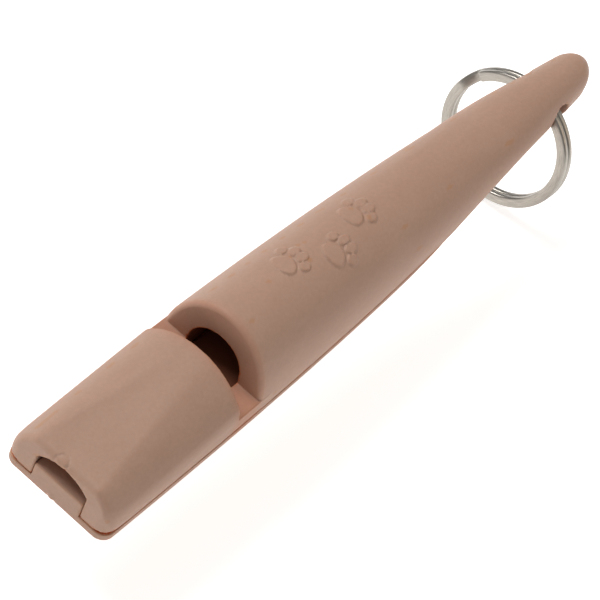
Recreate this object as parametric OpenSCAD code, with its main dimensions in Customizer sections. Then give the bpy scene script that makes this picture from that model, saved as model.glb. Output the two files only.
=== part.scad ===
// Training whistle: a moulded shell and a moulded sole, with a split ring through the tail.
// X runs from the mouth to the tail, Z is up, and the sole lies on Z = 0.
// The origin is on the sole, straight below the sounding edge.

/* [Body] */
// Length from the mouth face to the tip of the tail
body_len = 82; // [70:1:100]
// Width across the mouth end
mouth_w = 12.8; // [11.5:0.1:16]
// Width that the sides run in to at the tip of the tail
tail_w = 3.8; // [3:0.1:6]
// How late the sides draw in towards the tail
side_curve = 2.6; // [2:0.1:4]
// Height of the barrel just behind the window
barrel_h = 10.3; // [9.6:0.1:13]
// How late the back runs down towards the tail
back_curve = 1.1; // [1:0.05:1.6]
// Height that the back runs down to at the tip of the tail
tail_h = 5.3; // [4.6:0.1:6]
// Length of the rounded end of the tail
tail_round = 2.6; // [2:0.1:4]
// Thickness of the sole's flange
sole_t = 1; // [0.8:0.1:1.5]
// Height of the parting groove between shell and sole
groove_h = 0.6; // [0.3:0.1:0.8]
// Depth of the parting groove
groove_d = 0.35; // [0.2:0.05:0.5]

/* [Mouthpiece] */
// Length from the mouth face to the sounding edge
mouth_len = 21.9; // [20:0.1:28]
// Length of the window across the top
window_len = 3.4; // [2.5:0.1:5]
// Height of the roof at the window
lip_h = 7.8; // [7.5:0.1:8.5]
// Height of the roof at the mouth face, before the flat is cut
nose_h = 6.8; // [6.7:0.1:7.5]
// Rise of the roof's arch above the top of the sides
roof_rise = 3.8; // [3:0.1:4.5]
// Height of the flat on the roof at the mouth face
flat_h = 5.85; // [5.7:0.05:6.5]
// Corner radius of the mouth end, seen from above
nose_r = 1.4; // [1:0.1:2]
// Height of the flat ledges at the foot of the window
ledge_h = 3.25; // [2.5:0.05:3.6]

/* [Windway] */
// Width of the mouth slot
slot_w = 6.2; // [5:0.1:7]
// Height of the slot's sides at the mouth
slot_side = 3.9; // [3.5:0.1:4.2]
// Height of the slot's arch at the mouth
slot_top = 5.1; // [4.8:0.1:5.3]
// Slope of the windway's roof up towards the window, in degrees
windway_rise = 4.5; // [2:0.5:5]
// Height of the tongue at the mouth and at the window
tongue_h = [2.85, 4.9];
// Clearance on each side of the tongue in the slot
tongue_gap = 0.06; // [0.03:0.01:0.15]

/* [Chamber] */
// Bore of the sounding chamber
bore_d = 6.7; // [5:0.1:7]
// Height of the bore's axis above the sole's underside
bore_z = 3.95; // [3.8:0.05:4.5]
// Length of the chamber behind the sounding edge
chamber_len = 30; // [20:1:34]
// Clearance round the sole's locating rib
rib_gap = 0.08; // [0.05:0.01:0.2]
// Height of the sole's locating rib above its flange
rib_h = 0.7; // [0.4:0.1:1]

/* [Ring] */
// Diameter of the crosswise hole for the ring
hole_d = 3.9; // [3.4:0.1:4.1]
// Distance from the tip of the tail to the hole's axis
hole_inset = 7.4; // [6.8:0.1:9]
// Height of the hole's axis
hole_z = 2.8; // [2.6:0.1:3]
// Outer diameter of the split ring
ring_d = 15.5; // [14.5:0.1:19]
// Width of the flattened wire across the ring
wire_w = 1.15; // [0.9:0.05:1.3]
// Thickness of each turn of the wire
wire_t = 0.75; // [0.6:0.05:0.9]
// Gap left between the two ends of the second turn, in degrees
ring_gap = 24; // [15:1:40]
// How far the hanging ring leans towards the mouth, in degrees
ring_lean = 10; // [0:1:15]
// How far the ring has slid to the left through its hole
ring_side = 0.75; // [0:0.05:1]

/* [Hidden] */
$fn = 64;
tip_x = body_len - mouth_len;
hole_x = tip_x - hole_inset;
roof_r = (mouth_w * mouth_w / 4 + roof_rise * roof_rise) / (2 * roof_rise);
channel_w = bore_d - 0.2;
mid_r = (ring_d - wire_w) / 2;
hang_z = -(ring_d - hole_d) / 2 - 0.4; // the ring is pushed up under the top of the hole
tail_mid = tail_h * 0.64;
foot_from = 24;
foot_to = 49;
edge_r = 1;
arc_n = 10;
side_n = 4;
eps = 0.01;

// 0 before a, 1 after b, and a smooth rise between them
function ease(x, a, b) = let (t = min(max((x - a) / (b - a), 0), 1)) t * t * (3 - 2 * t);

// what a quarter-round end of radius r takes off at distance d from the end
function round_off(d, r) = d >= r ? 0 : r - sqrt(r * r - (r - d) * (r - d));

// how far the section has closed in the rounded end of the tail
function tail_close(x) = x <= tip_x - tail_round ? 1
    : sqrt(max(1 - pow((x - tip_x + tail_round) / tail_round, 2), 0.0004));

// half the width of the body at its widest level
function half_w(x) = (mouth_w - (mouth_w - tail_w) * pow((x + mouth_len) / body_len, side_curve)) / 2
    - round_off(x + mouth_len, nose_r);

// height of the barrel's back
function back_z(x) = barrel_h
    - (barrel_h - tail_h) * pow(max(x, 0) / tip_x, back_curve)
    - round_off(x, edge_r);

// height of the mouthpiece's roof before the flat is cut
function roof_z(x) = nose_h + (lip_h - nose_h) * (x + mouth_len) / (mouth_len - window_len)
    - round_off(x + mouth_len, edge_r);

// radius of the body's lower edges, small on the flat sole and full at the tail
function foot_r(x) = 0.3 + (half_w(x) * 0.97 - 0.3) * ease(x, foot_from, foot_to);

// half the width at level z, below the arch of the back
function side_y(x, z) = let (w = half_w(x), r = foot_r(x)) z >= r ? w : w - r + sqrt(r * r - (r - z) * (r - z));

// level at which the straight side turns into the arch of the back
function spring_z(x) = max(foot_r(x) + 0.05, 1.9 + 1.1 * ease(x, -mouth_len, tip_x));

// level of the sole's flange, measured in the section before the tail closes it
function split_z(x) = max(0, tail_mid + (sole_t - tail_mid) / tail_close(x));

// depth of the parting groove, which dies out along the barrel
function groove_in(x) = groove_d * (1 - ease(x, foot_from, foot_to)) + 0.02;

// right half of the shell's side: the parting groove, then up to the level top
function shell_side(x, top) = let (z0 = split_z(x), z1 = z0 + groove_h, z2 = z1 + 0.12, z3 = min(top, ledge_h) - 0.2)
    concat([[side_y(x, z0) - groove_in(x), z0], [side_y(x, z1) - groove_in(x), z1]],
        [for (i = [0:side_n]) let (z = z2 + (z3 - z2) * i / side_n) [side_y(x, z), z]], [[side_y(x, top), top]]);

// right half of a barrel section, with an elliptical back that rounds over at the window
function barrel_half(x) = let (s = spring_z(x))
    concat(shell_side(x, s),
        [for (i = [1:arc_n])
            let (a = 90 * i / arc_n, z = s + (back_z(x) - s) * sin(a),
                w = half_w(x) - round_off(x, edge_r) * ease(z, ledge_h, ledge_h + edge_r)) [w * cos(a), z]]);

// right half of a mouthpiece section, with an arched roof
function mouth_half(x) = let (w = half_w(x), z0 = roof_z(x) - roof_r)
    concat(shell_side(x, z0 + sqrt(roof_r * roof_r - w * w)),
        [for (i = [1:arc_n]) let (y = w * cos(90 * i / arc_n)) [y, z0 + sqrt(roof_r * roof_r - y * y)]]);

// right half of the section under the window
function window_half(half) = [for (p = half) [p[0], min(p[1], ledge_h)]];

// right half of the sole's section
function sole_half(x) = [for (k = [0, 0.08, 0.3, 1]) [side_y(x, k * split_z(x)), k * split_z(x)]];

// whole section: the left half, then the right half reversed, drawn in at the tail
function section(x, half) = let (c = tail_close(x), n = len(half))
    [for (p = concat(half, [for (i = [n - 1:-1:0]) if (half[i][0] > 0.001) [-half[i][0], half[i][1]]]))
        [x, p[0] * c, tail_mid + (p[1] - tail_mid) * c]];

// one closed solid through a list of sections with the same number of points
module skin(rings) {
    n = len(rings[0]);
    m = len(rings);
    polyhedron(
        points = [for (r = rings) for (p = r) p],
        faces = concat(
            [[for (j = [0:n - 1]) j]],
            [for (i = [0:m - 2]) for (j = [0:n - 1])
                [i * n + j, i * n + n + j, i * n + n + (j + 1) % n]],
            [for (i = [0:m - 2]) for (j = [0:n - 1])
                [i * n + j, i * n + n + (j + 1) % n, i * n + (j + 1) % n]],
            [[for (j = [n - 1:-1:0]) (m - 1) * n + j]]));
}

// places of the sections along the body
nose_x = [for (i = [0:4]) -mouth_len + nose_r * (1 - cos(22.5 * i))];
mouth_x = concat(nose_x, [for (i = [1:4]) -mouth_len + nose_r + (mouth_len - window_len - nose_r) * i / 4]);
edge_x = [for (i = [0:3]) edge_r * (1 - cos(30 * i))];
barrel_x = [for (i = [1:15]) edge_r + (tip_x - tail_round - edge_r) * i / 15];
tail_x = [for (i = [1:7]) tip_x - tail_round + tail_round * sin(12.6 * i)];

// the outside of the shell in one piece, stepped down under the window
module shell_block() {
    behind = concat(edge_x, barrel_x, tail_x);
    skin(concat(
        [for (x = mouth_x) section(x, mouth_half(x))],
        [section(-window_len + 2 * eps, window_half(mouth_half(-window_len)))],
        [section(-2 * eps, window_half(barrel_half(edge_r)))],
        [for (x = behind) section(x, barrel_half(x))]));
}

// the flange of the sole
module sole_block() {
    skin([for (x = concat(nose_x, [-window_len], barrel_x, [tip_x - 0.3 * tail_round]))
        section(x, sole_half(x))]);
}

// the windway's cut: an arched slot that rises towards the window
module windway() {
    rise = slot_top - slot_side;
    r = (slot_w * slot_w / 4 + rise * rise) / (2 * rise);
    translate([-mouth_len, 0, 0]) rotate([0, -windway_rise, 0]) rotate([90, 0, 90])
        translate([0, 0, -1]) linear_extrude(mouth_len - window_len + 1 + 0.2) intersection() {
            translate([-slot_w / 2, -3]) square([slot_w, slot_top + 3]);
            translate([0, slot_top - r]) circle(r);
        }
}

// the sounding chamber: a round bore whose lower half runs straight down to the sole
module chamber() {
    translate([-0.3, 0, bore_z]) rotate([0, 90, 0]) cylinder(h = chamber_len + 0.3, d = bore_d);
    translate([-window_len - 0.3, -channel_w / 2, 0])
        cube([chamber_len + window_len + 0.2, channel_w, bore_z]);
}

module ring_hole() {
    translate([hole_x, 0, hole_z]) rotate([90, 0, 0])
        cylinder(h = 2 * mouth_w, d = hole_d, center = true);
}

// what is cut off above the flat of the mouthpiece
module roof_flat() {
    translate([0, mouth_w, 0]) rotate([90, 0, 0]) linear_extrude(2 * mouth_w)
        polygon([[-mouth_len - 1, flat_h], [-mouth_len, flat_h], [-window_len, lip_h + 0.06],
            [-window_len, lip_h + 5], [-mouth_len - 1, lip_h + 5]]);
}

module top_shell() {
    color("#b08d78") difference() {
        shell_block();
        roof_flat();
        windway();
        chamber();
        ring_hole();
    }
}

// the tongue that closes the windway from below
module tongue() {
    w = slot_w - 2 * tongue_gap;
    translate([0, w / 2, 0]) rotate([90, 0, 0]) linear_extrude(w)
        polygon([[-mouth_len, sole_t / 2], [-mouth_len, tongue_h[0]],
            [-window_len - 0.1, tongue_h[1]], [-window_len - 0.1, sole_t / 2]]);
}

// a low rib that places the sole in the chamber's mouth
module rib() {
    w = channel_w - 2 * rib_gap;
    translate([rib_gap, -w / 2, sole_t / 2])
        cube([chamber_len - 2 * rib_gap, w, sole_t / 2 + rib_h]);
}

module base_plate() {
    color("#a98671") difference() {
        union() {
            sole_block();
            tongue();
            rib();
        }
        ring_hole();
    }
}

// one turn of the flattened wire, with its corners cut
module turn(level, angle) {
    c = 0.2;
    rotate_extrude(angle = angle, $fn = 96) translate([mid_r, level])
        polygon([
            [-wire_w / 2, -wire_t / 2 + c], [-wire_w / 2 + c, -wire_t / 2],
            [wire_w / 2 - c, -wire_t / 2], [wire_w / 2, -wire_t / 2 + c],
            [wire_w / 2, wire_t / 2 - c], [wire_w / 2 - c, wire_t / 2],
            [-wire_w / 2 + c, wire_t / 2], [-wire_w / 2, wire_t / 2 - c]]);
}

module split_ring() {
    color("#b5b0aa") translate([hole_x, ring_side, hole_z]) rotate([0, ring_lean, 0])
        translate([0, 0, hang_z]) rotate([0, -90, 0]) {
            turn(-wire_t / 2 + eps, 360);
            rotate([0, 0, 81]) turn(wire_t / 2 - eps, 360 - ring_gap);
        }
}

top_shell();
base_plate();
split_ring();
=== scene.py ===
import bpy
import math
import numpy as np
from mathutils import Matrix, Vector


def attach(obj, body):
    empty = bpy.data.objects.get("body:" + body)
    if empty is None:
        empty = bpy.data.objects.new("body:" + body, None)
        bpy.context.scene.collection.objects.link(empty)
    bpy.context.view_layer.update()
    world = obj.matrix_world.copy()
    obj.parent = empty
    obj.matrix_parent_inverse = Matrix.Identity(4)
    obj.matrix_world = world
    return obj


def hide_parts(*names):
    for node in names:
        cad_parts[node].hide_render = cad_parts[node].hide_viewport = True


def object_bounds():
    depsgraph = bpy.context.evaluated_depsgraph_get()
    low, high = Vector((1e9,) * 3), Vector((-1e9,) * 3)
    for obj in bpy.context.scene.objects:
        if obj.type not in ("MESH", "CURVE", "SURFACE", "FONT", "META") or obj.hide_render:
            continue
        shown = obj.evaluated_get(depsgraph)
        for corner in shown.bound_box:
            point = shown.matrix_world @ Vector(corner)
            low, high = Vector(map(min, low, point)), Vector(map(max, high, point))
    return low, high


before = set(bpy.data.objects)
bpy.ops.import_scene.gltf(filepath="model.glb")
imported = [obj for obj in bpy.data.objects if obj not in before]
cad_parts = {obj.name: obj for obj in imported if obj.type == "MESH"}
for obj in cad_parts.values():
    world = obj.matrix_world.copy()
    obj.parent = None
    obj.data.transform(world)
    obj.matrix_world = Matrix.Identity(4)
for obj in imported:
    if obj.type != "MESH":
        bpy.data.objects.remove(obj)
cadBox = [list(v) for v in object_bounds()]
mm = 0.001  # the object's sizes below are millimetres, in the frame's own axes
print("frame loaded", sorted(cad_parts))


# measuring helpers: each takes whole arrays and returns a distance, negative inside

def ease(x, a, b):
    # 0 before a, 1 after b, 3t^2 - 2t^3 between
    t = np.clip((x - a) / (b - a), 0, 1)
    return t * t * (3 - 2 * t)


def roundMax(a, b, r):
    # inside both, with the outer corner turned to a radius r: the length of the two parts beyond -r
    return np.minimum(np.maximum(a, b), -r) + np.hypot(np.maximum(a + r, 0), np.maximum(b + r, 0))


body = {  # what the upper shell and the sole share
    "mouthX": -21.9,
    "tipX": 60.09,
    "mouthWidth": 12.8,
    "tailWidth": 3.8,
    "sideCurve": 2.6,  # higher keeps the sides parallel further back
    "backHeight": 10.265,
    "backCurve": 1.1,
    "tailHeight": 5.3,
    "tailMiddle": 0.64,  # the tip closes to this share of the tail's height
    "tailRound": 2.6,
    "noseRound": 1.4,  # upright corners of the mouth
    "lipRound": 0.65,  # round along the top of the mouth's front
    "lipRun": 3,  # over which the round falls to the roof's edge
    "roofEdge": 0.45,
    "rearEdge": 0.14,  # mouth's rear end, at the window
    "footEdge": 0.25,  # along the bottom of the mouth
    "frontSkin": 0.05,  # the front face stands back this much, so that the gate mark fits
    "flatFront": 5.85,
    "flatRear": 7.86,
    "roofFront": 6.8,
    "roofRear": 7.8,
    "roofRadius": 7.29,
    "shoulder": 0.18,  # fuller curve beside the flat at the front
    "shoulderAt": (4.4, 1.2),  # its middle from the centre line, and its width
    "shoulderRun": (1, 11),  # from the mouth's front, over which it fades
    "windowX": -3.15,
    "ledge": 3.25,
    "ledgeEdge": 0.12,
    "barrelRound": 0.6,  # soft edge of the barrel above the window
    "footFrom": 24,  # from here to footTo the square lower corners become round
    "footTo": 49,
    "footRadius": (0.3, 0.97),  # in mm at the front, and as a share of the half width at the tail
    "spring": (1.9, 1.1),  # height where the back's arch starts at the mouth, and its rise to the tail
    "holeX": 52.7,
    "holeZ": 2.65,
    "holeRadius": 1.75,
    "holeSlant": 0.08,  # the hole's left end is the higher one
    "holeEdge": 0.12,
}


def halfWidth(x):
    # half the mouth's width, narrowing to the tail's by a power of the way along
    t = np.clip((x - body["mouthX"]) / (body["tipX"] - body["mouthX"]), 0, 1)
    return (body["mouthWidth"] - (body["mouthWidth"] - body["tailWidth"]) * t ** body["sideCurve"]) / 2


def barrelSection(x, y, z):
    # below the spring line a box with rounded lower corners, above it half an ellipse
    b = body
    w = halfWidth(x)
    t = np.clip(x, 0, b["tipX"]) / b["tipX"]
    top = b["backHeight"] - (b["backHeight"] - b["tailHeight"]) * t ** b["backCurve"]
    square, rounded = b["footRadius"]
    foot = square + (rounded * w - square) * ease(x, b["footFrom"], b["footTo"])
    springHeight, springRise = b["spring"]
    spring = np.maximum(foot + 0.05, springHeight + springRise * ease(x, b["mouthX"], b["tipX"]))
    u, v = np.abs(y) - (w - foot), foot - z
    low = np.hypot(np.maximum(u, 0), np.maximum(v, 0)) + np.minimum(np.maximum(u, v), 0) - foot
    h = top - spring
    k = np.hypot(y / w, (z - spring) / h) + 1e-6
    high = k * (k - 1) / (np.hypot(y / w ** 2, (z - spring) / h ** 2) + 1e-6)
    return np.where(z < spring, low, high)


paw = {  # a plain raised row of paw prints on the back
    "height": 0.2,
    "edge": 0.16,
    "prints": ((9.6, 1.0), (14.9, -1.15), (20.2, 0.95)),  # middle of each main pad
    "pad": (0.0, 1.05, 1.3),  # offset along, half length, half width
    "toes": (  # offset along and across, half length, half width
        (1.45, -1.45, 0.62, 0.48),
        (2.1, -0.52, 0.72, 0.5),
        (2.1, 0.52, 0.72, 0.5),
        (1.45, 1.45, 0.62, 0.48),
    ),
}


def pawRelief(x, y):
    # height times a soft step over each ellipse, the highest of them; each main pad narrows to its toes
    def pad(cx, cy, a, b):
        k = np.hypot((x - cx) / a, (y - cy) / b) + 1e-6
        d = (k - 1) * np.minimum(a, b)
        return 1 - ease(d, -paw["edge"] / 2, paw["edge"])
    out = np.zeros(np.shape(x))
    for px, py in paw["prints"]:
        off, a, b = paw["pad"]
        out = np.maximum(out, pad(px + off, py, a, b * (1 - 0.16 * np.clip((x - px) / a, -1, 1))))
        for dx, dy, ta, tb in paw["toes"]:
            out = np.maximum(out, pad(px + dx, py + dy, ta, tb))
    return paw["height"] * out


gate = {  # where the plastic was let into the mould
    "marks": (((-21.6, 0.66, 5.5), 0.62), ((-21.85, 0.3, 0.45), 0.42)),  # middle and radius
    "height": 0.05,
    "sink": 0.06,  # depth of the ring round each
    "ringWidth": 0.1,
}


def gateMark(x, y, z):
    # a low round button with a fine ring sunk round it
    out = np.zeros(np.shape(x))
    for (cx, cy, cz), r in gate["marks"]:
        d = np.sqrt((x - cx) ** 2 + (y - cy) ** 2 + (z - cz) ** 2)
        button = gate["height"] * (1 - ease(d, r * 0.7, r))
        out = out + button - gate["sink"] * np.exp(-((d - r * 1.2) / gate["ringWidth"]) ** 2)
    return out


def mouthBlock(x, y, z, plan):
    # the plan, cut by an arched roof and a sloping flat, and square at the window
    b = body
    run = b["windowX"] - b["mouthX"]
    roof = b["roofFront"] + (b["roofRear"] - b["roofFront"]) * (x - b["mouthX"]) / run
    slope = (b["flatRear"] - b["flatFront"]) / run
    arch = np.hypot(y, z - roof + b["roofRadius"]) - b["roofRadius"]
    middle, width = b["shoulderAt"]
    fade = 1 - ease(x, *(b["mouthX"] + d for d in b["shoulderRun"]))
    arch = arch - b["shoulder"] * np.exp(-((np.abs(y) - middle) / width) ** 2) * fade
    flat = (z - b["flatFront"] - slope * (x - b["mouthX"])) / math.hypot(1, slope)
    top = roundMax(arch, flat, 0.1)
    lipShare = 1 - ease(x, b["mouthX"], b["mouthX"] + b["lipRun"])
    lip = b["roofEdge"] + (b["lipRound"] - b["roofEdge"]) * lipShare
    mouth = roundMax(roundMax(plan, top, lip), x - b["windowX"], b["rearEdge"])
    return roundMax(mouth, -z, b["footEdge"])


def windowFloor(x, y, z, plan):
    # the plan up to the height of the ledges, from just inside the mouth to just inside the barrel
    b = body
    low = roundMax(roundMax(plan, -z, b["footEdge"]), z - b["ledge"], b["ledgeEdge"])
    return np.maximum(roundMax(low, x - 2, 0.2), b["windowX"] - 0.3 - x)


def barrelBlock(x, y, z):
    # the barrel's section, shrunk to its middle along a quarter circle at the tip, and square at the window
    b = body
    u = np.clip((x - b["tipX"] + b["tailRound"]) / b["tailRound"], 0, 1)
    c = np.sqrt(np.maximum(1 - u * u, 0.0025))
    mid = b["tailHeight"] * b["tailMiddle"]
    barrel = np.maximum(c * barrelSection(x, y / c, mid + (z - mid) / c), x - b["tipX"])
    barrel = barrel - pawRelief(x, y) * (z > b["ledge"] + 2)
    return roundMax(barrel, -x, b["barrelRound"])


def outerSkin(x, y, z):
    # the smallest of the mouth, the low part under the window and the barrel, less the gate marks' height
    side = np.abs(y) - halfWidth(x)
    front = body["mouthX"] + body["frontSkin"] - x
    plan = roundMax(side, front, body["noseRound"])
    skin = np.minimum(mouthBlock(x, y, z, plan), windowFloor(x, y, z, plan))
    return np.minimum(skin, barrelBlock(x, y, z)) - gateMark(x, y, z)


def ringHole(x, y, z):
    # distance from a line across the tail, a little higher on the left, less the radius
    return np.hypot(x - body["holeX"], z - body["holeZ"] - body["holeSlant"] * y) - body["holeRadius"]


shell = {
    "soleTop": 1.0,
    "grooveTop": 1.26,
    "grooveDepth": 0.35,
    "cornerRelief": 0.3,  # the seam opens out at the two front corners
    "cornerAt": (1.3, 1.0),  # middle and width of that, from the mouth's front
    "seamEdge": 0.08,
    "slotHalf": 3.1,
    "slotTop": 5.1,
    "slotArc": 4.6,
    "slotRise": 4.5,  # degrees
    "boreRadius": 3.18,
    "boreZ": 3.85,
    "chamberEnd": 30,
    "channelHalf": 3.25,
    "slotEdge": 0.18,
    "boreEdge": 0.07,
}


def chamberAndSlot(x, y, z):
    # the bore with the straight-sided channel under it, and the arched windway that climbs to the window
    s = shell
    ay = np.abs(y)
    across = np.maximum(ay - s["channelHalf"], z - s["boreZ"])
    overlap = 0.3  # each reaches a little past the face it opens through
    bore = np.minimum(np.hypot(y, z - s["boreZ"]) - s["boreRadius"], across)
    bore = np.maximum(bore, -overlap - x)
    channel = np.maximum(across, body["windowX"] - overlap - x)
    chamber = np.maximum(np.minimum(bore, channel), x - s["chamberEnd"])
    rise = math.tan(math.radians(s["slotRise"]))
    lift = z - (x - body["mouthX"]) * rise - s["slotTop"] + s["slotArc"]
    slot = np.maximum(ay - s["slotHalf"], np.hypot(y, lift) - s["slotArc"])
    return chamber, np.maximum(slot, x - body["windowX"] - 0.1)


def paintedShadeShare(x, y, z):
    # painted shade share: 0 on the outside, a little in the window and the seam, rising along the windway and
    # to 1 in the chamber
    chamber, slot = chamberAndSlot(x, y, z)
    high = z > shell["soleTop"] / 2
    chamberShade = ease(x, -1.4, 0.2) * (1 - ease(chamber, 0.03, 0.12)) * high
    slotShade = 0.55 * ease(x, body["mouthX"] + 0.2, body["mouthX"] + 5) * (1 - ease(slot, 0.03, 0.12)) * high
    # painted warm shade round the window's ledges and walls
    window = 0.14 * np.exp(-((x - body["windowX"] / 2) / 2.0) ** 4) * high
    # painted shadow in the seam's groove
    atSeam = (z > shell["soleTop"] - 0.05) * (z < shell["soleTop"] + 0.5)
    seam = 0.5 * ease(-outerSkin(x, y, z), 0.03, 0.2) * atSeam
    return np.maximum(np.maximum(chamberShade, slotShade), np.maximum(window, seam))


def upperShell(x, y, z):
    # the skin above the sole, drawn in along the seam, less the chamber, the windway and the ring hole
    s = shell
    skin = outerSkin(x, y, z)
    ay = np.abs(y)
    w = halfWidth(x)
    atSide = 0.2 + 0.8 * ease(ay, w - 1.7, w - 0.5)  # full at the sides, a fifth across the front
    depth = s["grooveDepth"] * (1 - ease(x, body["footFrom"], body["footTo"])) * atSide + 0.02
    cornerX, cornerWide = s["cornerAt"]
    corner = np.exp(-((x - body["mouthX"] - cornerX) / cornerWide) ** 2) * ease(ay, w - 1.6, w - 0.9)
    topOf = s["grooveTop"] + 0.2 * corner
    depth = depth + s["cornerRelief"] * corner
    skin = skin + depth * (1 - ease(z, topOf - s["seamEdge"], topOf + s["seamEdge"]))
    out = roundMax(skin, s["soleTop"] - z, s["seamEdge"])
    chamber, slot = chamberAndSlot(x, y, z)
    out = roundMax(out, -chamber, s["boreEdge"])
    out = roundMax(out, -slot, s["slotEdge"])
    return roundMax(out, -ringHole(x, y, z), body["holeEdge"])


sole = {
    "thick": 1.0,
    "tongueHalf": 3.04,
    "tongueFront": 2.85,
    "tongueRear": 4.9,
    "tongueEnd": -3.5,
    "tongueEdge": 0.14,
    "ribTop": 1.7,
    "ribAlong": (13, 16.7),  # middle and half length
    "ribEdge": 0.15,
    "root": 0.4,  # tongue and rib start inside the plate
    "edge": 0.12,
}


def soleAndTongue(x, y, z):
    # the lowest millimetre of the skin, with the tongue that floors the windway and a low rib behind it
    s = sole
    plate = roundMax(outerSkin(x, y, z), z - s["thick"], s["edge"])
    run = s["tongueEnd"] - body["mouthX"]
    top = s["tongueFront"] + (s["tongueRear"] - s["tongueFront"]) * (x - body["mouthX"]) / run
    side = np.abs(y) - s["tongueHalf"]
    tongue = roundMax(side, z - top, s["tongueEdge"])
    tongue = roundMax(tongue, body["mouthX"] + body["frontSkin"] - x, s["edge"])
    tongue = np.maximum(roundMax(tongue, x - s["tongueEnd"], 0.1), s["root"] - z)
    ribX, ribHalf = s["ribAlong"]
    rib = roundMax(side, z - s["ribTop"], s["ribEdge"])
    rib = np.maximum(rib, np.maximum(s["root"] - z, np.abs(x - ribX) - ribHalf))
    out = np.minimum(np.minimum(plate, tongue), rib)
    return roundMax(out, -ringHole(x, y, z), body["holeEdge"])


def edgeCrossings(f, axes):
    # along each axis, the grid edges where the field changes sign, with the point from a straight-line share
    # of the edge, and in each cell the sum and the number of the points on its own edges
    shape = tuple(n - 1 for n in f.shape)
    total, count = np.zeros(shape + (3,)), np.zeros(shape)
    crossed = []
    for a in range(3):
        lo = [slice(None)] * 3
        hi = [slice(None)] * 3
        lo[a], hi[a] = slice(None, -1), slice(1, None)
        f0, f1 = f[tuple(lo)], f[tuple(hi)]
        hit = (f0 < 0) != (f1 < 0)
        crossed.append((hit, f0 < 0))
        t = np.where(hit, f0 / np.where(hit, f0 - f1, 1), 0)
        point = np.zeros(hit.shape + (3,))
        for c, along in enumerate(axes):
            wide = (None,) * c + (slice(None),) + (None,) * (2 - c)
            point[..., c] = along[:-1][wide] + t * np.diff(along)[wide] if c == a else along[wide]
        p, q = [k for k in range(3) if k != a]
        for dp in (0, 1):
            for dq in (0, 1):
                cut = [slice(None)] * 3
                cut[p] = slice(dp, dp + shape[p])
                cut[q] = slice(dq, dq + shape[q])
                h = hit[tuple(cut)]
                total += point[tuple(cut)] * h[..., None]
                count += h
    return crossed, total, count


def cellFaces(crossed, number):
    # one four-sided face round each crossed edge, through the points of the four cells that share it
    quads = []
    for a in range(3):
        p, q = ((1, 2), (2, 0), (0, 1))[a]
        hit, inside = crossed[a]
        inner = [slice(None)] * 3
        inner[p], inner[q] = slice(1, -1), slice(1, -1)
        at = np.array(np.nonzero(hit[tuple(inner)]))
        at[p] += 1
        at[q] += 1
        corners = []
        for dp, dq in ((-1, -1), (0, -1), (0, 0), (-1, 0)):
            cell = at.copy()
            cell[p] += dp
            cell[q] += dq
            corners.append(number[tuple(cell)])
        quad = np.stack(corners, 1)
        out = inside[tuple(at)]
        quads.append(np.where(out[:, None], quad, quad[:, ::-1]))
    return np.concatenate(quads)


def skinGrid(field, xs, ys, zs):
    # one point in each cell that the surface crosses, at the mean of its crossings, then drawn onto the
    # surface along the field's slope, at most reach at a time
    reach = 0.12
    crossed, total, count = edgeCrossings(field(*np.meshgrid(xs, ys, zs, indexing="ij")), (xs, ys, zs))
    used = count > 0
    number = np.full(count.shape, -1)
    number[used] = np.arange(used.sum())
    verts = total[used] / count[used][:, None]
    faces = cellFaces(crossed, number)
    for _ in range(4):
        value, slope = fieldSlope(field, verts)
        step = value[:, None] * slope / np.maximum((slope ** 2).sum(1), 0.05)[:, None]
        length = np.linalg.norm(step, axis=1)[:, None]
        verts = verts - step * np.minimum(1, reach / np.maximum(length, 1e-9))
    slope = fieldSlope(field, verts)[1]
    normals = slope / np.maximum(np.linalg.norm(slope, axis=1), 1e-9)[:, None]
    return verts, faces, normals


def fieldSlope(field, p, h=0.02):
    # the field, and its slope by differences a step h to either side
    d = []
    for c in range(3):
        e = np.zeros(3)
        e[c] = h
        d.append((field(*(p + e).T) - field(*(p - e).T)) / (2 * h))
    return field(*p.T), np.stack(d, 1)


def newPiece(name, verts, faces):
    # a smooth mesh object from millimetres
    mesh = bpy.data.meshes.new(name)
    mesh.from_pydata((verts * mm).tolist(), [], faces)
    mesh.shade_smooth()
    piece = bpy.data.objects.new(name, mesh)
    bpy.context.scene.collection.objects.link(piece)
    return piece


def setValues(piece, name, values):
    # one number at each point, for the material to read
    kept = piece.data.attributes.new(name, "FLOAT", "POINT")
    kept.data.foreach_set("value", values.astype(np.float32))


def mouldedPiece(name, field, low, high):
    # the field's surface between two heights, shaded by the field's own slope
    verts, faces, normals = skinGrid(field, alongX, acrossY, np.arange(low, high, grid["across"]))
    piece = newPiece(name, verts, faces.tolist())
    piece.data.normals_split_custom_set_from_vertices(normals.tolist())
    # the share of painted shade at each point, for the material to read
    setValues(piece, "inside", paintedShadeShare(*verts.T))
    print(name, "made,", len(faces) * 2, "triangles")
    return piece


grid = {  # (start, end, step) along the length; finer where there is more shape
    "along": (
        (-22.3, 0.7, 0.2),
        (0.7, 7.1, 0.28),
        (7.1, 23.1, 0.2),
        (23.1, 48.1, 0.4),
        (48.1, 60.6, 0.25),
    ),
    "across": 0.185,
    "halfSpan": 6.75,
    "shellHeights": (0.72, 10.7),
    "soleHeights": (-0.27, 5.4),
}


def steps(spans):
    # each span cut evenly into about its own step
    parts = [np.linspace(a, b, int(round((b - a) / s)), endpoint=False) for a, b, s in spans]
    return np.concatenate(parts)


alongX = steps(grid["along"])
acrossY = np.arange(-grid["halfSpan"], grid["halfSpan"] + 0.01, grid["across"])
upper = mouldedPiece("upperShell", upperShell, *grid["shellHeights"])
lower = mouldedPiece("soleWithTongue", soleAndTongue, *grid["soleHeights"])


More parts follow.
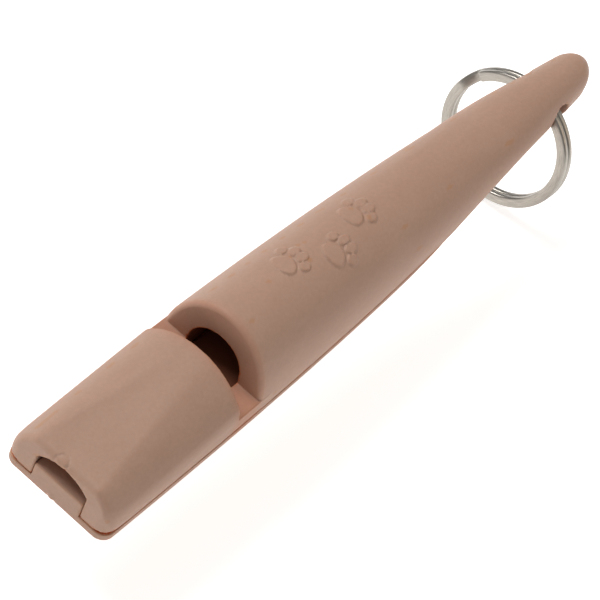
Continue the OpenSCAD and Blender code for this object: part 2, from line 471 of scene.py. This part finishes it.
ring = {
    "swingZ": 2.8,  # height of the line it swings about
    "outer": 15.22,
    "wireWide": 1.16,  # across the ring's face
    "wireThick": 0.74,  # each turn
    "jog": 24,  # degrees over which the wire steps from one turn to the other
    "start": 77,  # degrees from the top
    "lean": 10,
    "hang": 6.2,  # ring's middle below the hole's
    "forward": 0.38,  # how far it has shifted to the mouth in its hole
    "aside": 0.8,  # how far it has slid to the left
    "corner": 0.55,  # 1 is an oval wire, lower is squarer
    "press": 0.985,  # each turn is this share of its thickness, so the two turns don't touch
    "endRound": 0.3,  # length over which a cut end is rounded over
    "rounds": 620,
    "around": 28,
}


def splitRing():
    # a squared oval carried along 696 degrees of circle, that steps sideways by one wire in the jog
    r = ring
    sweep = 720 - r["jog"]
    wireLength = math.radians(sweep) * (r["outer"] - r["wireWide"]) / 2
    s = np.linspace(0, 1, r["rounds"])
    angle = np.radians(r["start"] + sweep * s)
    offset = r["wireThick"] * (ease(sweep * s, 360 - r["jog"], 360) - 0.5)
    fromEnd = np.minimum(s, 1 - s) * wireLength
    cap = np.sqrt(np.clip(1 - (1 - np.clip(fromEnd / r["endRound"], 0, 1)) ** 2, 0.12, 1))
    t = np.linspace(0, 2 * np.pi, r["around"], endpoint=False)
    cs, sn = np.cos(t), np.sin(t)
    a = np.sign(cs) * np.abs(cs) ** r["corner"] * r["wireWide"] / 2
    b = np.sign(sn) * np.abs(sn) ** r["corner"] * r["wireThick"] / 2 * r["press"]
    radius = (r["outer"] - r["wireWide"]) / 2 - 0.01 + cap[:, None] * a
    side = offset[:, None] + cap[:, None] * b
    u = radius * np.cos(angle)[:, None]
    y = r["aside"] + radius * np.sin(angle)[:, None]
    lean = math.radians(r["lean"])
    up = u - r["hang"]
    x = body["holeX"] - r["forward"] + up * math.sin(lean) - side * math.cos(lean)
    z = r["swingZ"] + up * math.cos(lean) + side * math.sin(lean)
    verts = np.stack([x, y, z], 2).reshape(-1, 3)
    n, m = r["rounds"], r["around"]
    i, j = np.meshgrid(np.arange(n - 1), np.arange(m), indexing="ij")
    k = (j + 1) % m
    faces = np.stack([i * m + j, i * m + k, (i + 1) * m + k, (i + 1) * m + j], 2).reshape(-1, 4)
    loop, after = np.arange(m), np.arange(1, m + 1) % m
    firstEnd = np.stack([after, loop, np.full(m, n * m)], 1)
    lastEnd = np.stack([(n - 1) * m + loop, (n - 1) * m + after, np.full(m, n * m + 1)], 1)
    verts = np.concatenate([verts, [verts[:m].mean(0), verts[-m:].mean(0)]])
    piece = newPiece("splitRing", verts, faces.tolist() + firstEnd.tolist() + lastEnd.tolist())
    setValues(piece, "alongWire", np.append(np.repeat(s * wireLength, m), [0, wireLength]))
    setValues(piece, "roundWire", np.append(np.tile(np.abs(t - np.pi), n), [0, 0]))
    return piece


keyRing = splitRing()
print("split ring made")


def nodeSet(name):
    # a new material with its shader, a function that adds a node and one that joins two sockets
    material = bpy.data.materials.new(name)
    material.use_nodes = True
    tree = material.node_tree

    def add(kind, values, **settings):
        node = tree.nodes.new("ShaderNode" + kind)
        for key, value in settings.items():
            setattr(node, key, value)
        for socket, value in values.items():
            node.inputs[socket].default_value = value
        return node

    return material, tree.nodes["Principled BSDF"], add, tree.links.new


def setRamp(node, darkAt, dark, lightAt, light):
    # a colour ramp's two ends
    for stop, place, colour in zip(node.color_ramp.elements, (darkAt, lightAt), (dark, light)):
        stop.position = place
        stop.color = (*colour, 1)


plastic = {
    "colour": (0.430, 0.268, 0.196),
    "shade": (0.397, 0.242, 0.174),  # where the pigment flowed thicker
    "edgePaintedGlow": (0.42, 0.222, 0.125),  # painted light: a warm glow on thin edges, standing in for light let through them
    "edgeFrom": 0.512,  # how pointed an edge is before the painted glow starts
    "edgeTo": 0.59,
    "edgeShare": 0.7,
    # the next two are painted shade: warm in the windway, near black-brown in the chamber
    "slotPaintedShade": (0.47, 0.122, 0.034),
    "borePaintedShade": (0.19, 0.066, 0.034),
    "flowSize": 230,  # noise scales: higher is finer
    "speckSize": 2600,
    "grainSize": 5200,
    "rough": 0.54,
    "grain": 0.05,
    "soft": 0.12,
    "softDepth": 0.0012,  # metres that light travels inside
}


def plasticColour(add, link, place, flow, tint):
    # the pigment's flow, times fine specks, then painted light and shade: a painted warm glow on thin edges,
    # painted warm shade in the windway and painted dark shade in the chamber
    p = plastic
    shade, colour, edgePaintedGlow = (np.multiply(c, tint) for c in (p["shade"], p["colour"], p["edgePaintedGlow"]))
    flowRamp = add("ValToRGB", {})
    setRamp(flowRamp, 0.32, shade, 0.68, colour)
    link(flow.outputs["Fac"], flowRamp.inputs["Fac"])
    speck = add("TexNoise", {"Scale": p["speckSize"], "Detail": 2})
    link(place.outputs["Object"], speck.inputs["Vector"])
    speckRamp = add("MapRange", {"From Min": 0.3, "From Max": 0.7, "To Min": 0.965, "To Max": 1.03})
    link(speck.outputs["Fac"], speckRamp.inputs["Value"])
    mixSpeck = add("Mix", {"Factor": 1}, data_type="RGBA", blend_type="MULTIPLY")
    link(flowRamp.outputs["Color"], mixSpeck.inputs["A"])
    link(speckRamp.outputs["Result"], mixSpeck.inputs["B"])
    edge = add("NewGeometry", {})
    edgeRamp = add("MapRange", {"From Min": p["edgeFrom"], "From Max": p["edgeTo"], "To Max": p["edgeShare"]})
    link(edge.outputs["Pointiness"], edgeRamp.inputs["Value"])
    # share of painted shade at each point: painted warm shade up to a half, painted dark shade from 0.55
    inside = add("Attribute", {}, attribute_name="inside")
    slotShade = add("MapRange", {"From Max": 0.5})
    link(inside.outputs["Fac"], slotShade.inputs["Value"])
    chamberShade = add("MapRange", {"From Min": 0.55})
    link(inside.outputs["Fac"], chamberShade.inputs["Value"])
    # painted edge glow, then painted windway shade, then painted chamber shade, each mixed over the pigment
    last = mixSpeck
    for share, colour in ((edgeRamp, edgePaintedGlow), (slotShade, p["slotPaintedShade"]), (chamberShade, p["borePaintedShade"])):
        mix = add("Mix", {}, data_type="RGBA")
        mix.inputs["B"].default_value = (*colour, 1)
        link(share.outputs["Result"], mix.inputs["Factor"])
        link(last.outputs["Result"], mix.inputs["A"])
        last = mix
    return last.outputs["Result"]


def plasticFinish(name, tint):
    # flowing pigment in the colour and gloss, with painted edge light and painted shade added to the colour,
    # fine mould grain in the bump, and a little light let through
    p = plastic
    material, shader, add, link = nodeSet(name)
    place = add("TexCoord", {})
    stretch = add("Mapping", {"Scale": (0.35, 1, 1)})  # flow runs along the whistle
    link(place.outputs["Object"], stretch.inputs["Vector"])
    flow = add("TexNoise", {"Scale": p["flowSize"], "Detail": 5, "Roughness": 0.55, "Distortion": 0.6})
    link(stretch.outputs["Vector"], flow.inputs["Vector"])
    link(plasticColour(add, link, place, flow, tint), shader.inputs["Base Color"])
    gloss = add("MapRange", {"To Min": p["rough"] - 0.05, "To Max": p["rough"] + 0.07})
    link(flow.outputs["Fac"], gloss.inputs["Value"])
    link(gloss.outputs["Result"], shader.inputs["Roughness"])
    grain = add("TexVoronoi", {"Scale": p["grainSize"]})
    link(place.outputs["Object"], grain.inputs["Vector"])
    bump = add("Bump", {"Strength": p["grain"], "Distance": 0.0001})
    link(grain.outputs["Distance"], bump.inputs["Height"])
    link(bump.outputs["Normal"], shader.inputs["Normal"])
    shader.inputs["Subsurface Weight"].default_value = p["soft"]
    shader.inputs["Subsurface Radius"].default_value = (1.0, 0.45, 0.25)
    shader.inputs["Subsurface Scale"].default_value = p["softDepth"]
    shader.inputs["Specular IOR Level"].default_value = 0.3
    shader.inputs["IOR"].default_value = 1.47
    return material


nickel = {
    "bright": (0.45, 0.42, 0.375),
    "dull": (0.26, 0.238, 0.21),
    "rough": 0.30,
    "lineSize": 2.4,
    "lineStretch": (0.35, 7, 1),  # along the wire, round it
}


def nickelFinish():
    # drawing lines along the wire, from one stretched noise in colour, gloss and bump
    n = nickel
    material, shader, add, link = nodeSet("satinNickel")
    along = add("Attribute", {}, attribute_name="alongWire")
    around = add("Attribute", {}, attribute_name="roundWire")
    pair = add("CombineXYZ", {})
    link(along.outputs["Fac"], pair.inputs["X"])
    link(around.outputs["Fac"], pair.inputs["Y"])
    stretch = add("Mapping", {"Scale": n["lineStretch"]})
    link(pair.outputs["Vector"], stretch.inputs["Vector"])
    lines = add("TexNoise", {"Scale": n["lineSize"], "Detail": 6, "Roughness": 0.7})
    link(stretch.outputs["Vector"], lines.inputs["Vector"])
    ramp = add("ValToRGB", {})
    setRamp(ramp, 0.30, n["dull"], 0.62, n["bright"])
    link(lines.outputs["Fac"], ramp.inputs["Fac"])
    link(ramp.outputs["Color"], shader.inputs["Base Color"])
    gloss = add("MapRange", {"To Min": n["rough"] + 0.12, "To Max": n["rough"] - 0.08})
    link(lines.outputs["Fac"], gloss.inputs["Value"])
    link(gloss.outputs["Result"], shader.inputs["Roughness"])
    bump = add("Bump", {"Strength": 0.25, "Distance": 0.00005})
    link(lines.outputs["Fac"], bump.inputs["Height"])
    link(bump.outputs["Normal"], shader.inputs["Normal"])
    shader.inputs["Metallic"].default_value = 1
    return material


upper.data.materials.append(plasticFinish("shellPlastic", (1, 1, 1)))
lower.data.materials.append(plasticFinish("solePlastic", (0.97, 0.965, 0.96)))
keyRing.data.materials.append(nickelFinish())
for piece, node, home, slotName in (
    (upper, "top_shell", "whistle", "shell_plastic"),
    (lower, "base_plate", "whistle", "sole_plastic"),
    (keyRing, "split_ring", "ring", "ring_steel"),
):
    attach(piece, home)
    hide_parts(node)
print("materials and bodies set")


studio = {  # metres
    "floorDrop": 0.0004,
    "floorSize": 6,
    "floorColour": (0.9, 0.9, 0.9),
    "floorGlow": 0.62,
    "sky": 0.44,
    "horizon": 0.06,
    "aim": (0.015, 0, 0.003),  # where both lights point
    "key": ((-0.06, 0.42, 0.62), 0.42, 4.1, (1, 1, 1)),  # place, size, strength, colour
    "fill": ((0.40, -0.50, 0.28), 0.5, 0.8, (1, 0.82, 0.64)),
}


def makeFloor():
    # a plane just under the lowest point of the frame, with a glow of its own so that it stays white
    height = cadBox[0][2] - studio["floorDrop"]
    bpy.ops.mesh.primitive_plane_add(size=studio["floorSize"], location=(0, 0, height))
    floor = bpy.context.object
    material = bpy.data.materials.new("paleFloor")
    material.use_nodes = True
    shader = material.node_tree.nodes["Principled BSDF"]
    shader.inputs["Base Color"].default_value = (*studio["floorColour"], 1)
    shader.inputs["Roughness"].default_value = 0.9
    shader.inputs["Specular IOR Level"].default_value = 0.1
    shader.inputs["Emission Color"].default_value = (1, 1, 1, 1)
    shader.inputs["Emission Strength"].default_value = studio["floorGlow"]
    floor.data.materials.append(material)


def makeLight(name, place, size, strength, colour):
    # a soft disk turned to the aim point
    data = bpy.data.lights.new(name, "AREA")
    data.shape = "DISK"
    data.size = size
    data.energy = strength
    data.color = colour
    lamp = bpy.data.objects.new(name, data)
    lamp.location = place
    aim = Vector(studio["aim"]) - Vector(place)
    lamp.rotation_mode = "QUATERNION"
    lamp.rotation_quaternion = aim.to_track_quat("-Z", "Y")
    bpy.context.scene.collection.objects.link(lamp)


def makeSky():
    # brighter overhead than at the horizon, so that metal has something to show
    world = bpy.data.worlds.new("studio")
    bpy.context.scene.world = world
    world.use_nodes = True
    tree = world.node_tree
    place = tree.nodes.new("ShaderNodeTexCoord")
    split = tree.nodes.new("ShaderNodeSeparateXYZ")
    ramp = tree.nodes.new("ShaderNodeMapRange")
    ramp.inputs["From Min"].default_value = 0.0
    ramp.inputs["From Max"].default_value = 0.8
    ramp.inputs["To Min"].default_value = studio["horizon"]
    ramp.inputs["To Max"].default_value = studio["sky"]
    tree.links.new(place.outputs["Generated"], split.inputs["Vector"])
    tree.links.new(split.outputs["Z"], ramp.inputs["Value"])
    tree.links.new(ramp.outputs["Result"], tree.nodes["Background"].inputs["Strength"])
    tree.nodes["Background"].inputs["Color"].default_value = (1, 1, 1, 1)


view = {  # place in millimetres, two directions and the lens
    "eye": (-238.37, -96.54, 325.14),
    "right": (0.624, -0.7339, 0.2681),
    "up": (0.5024, 0.6397, 0.5817),
    "lens": 260.7,
}


def setCamera():
    # built from its own right and up directions, made square to each other
    data = bpy.data.cameras.new("camera")
    cam = bpy.data.objects.new("camera", data)
    bpy.context.scene.collection.objects.link(cam)
    right = Vector(view["right"]).normalized()
    up = Vector(view["up"]).normalized()
    back = right.cross(up)
    up = back.cross(right)
    turn = Matrix((right, up, back)).transposed()
    cam.matrix_world = Matrix.Translation(Vector(view["eye"]) * mm) @ turn.to_4x4()
    data.sensor_width = 36
    data.lens = view["lens"]
    data.clip_start = 0.01
    data.clip_end = 20
    bpy.context.scene.camera = cam


makeFloor()
makeLight("key", *studio["key"])
makeLight("fill", *studio["fill"])
makeSky()
setCamera()
bpy.context.scene.view_settings.view_transform = "Standard"
print("studio set")
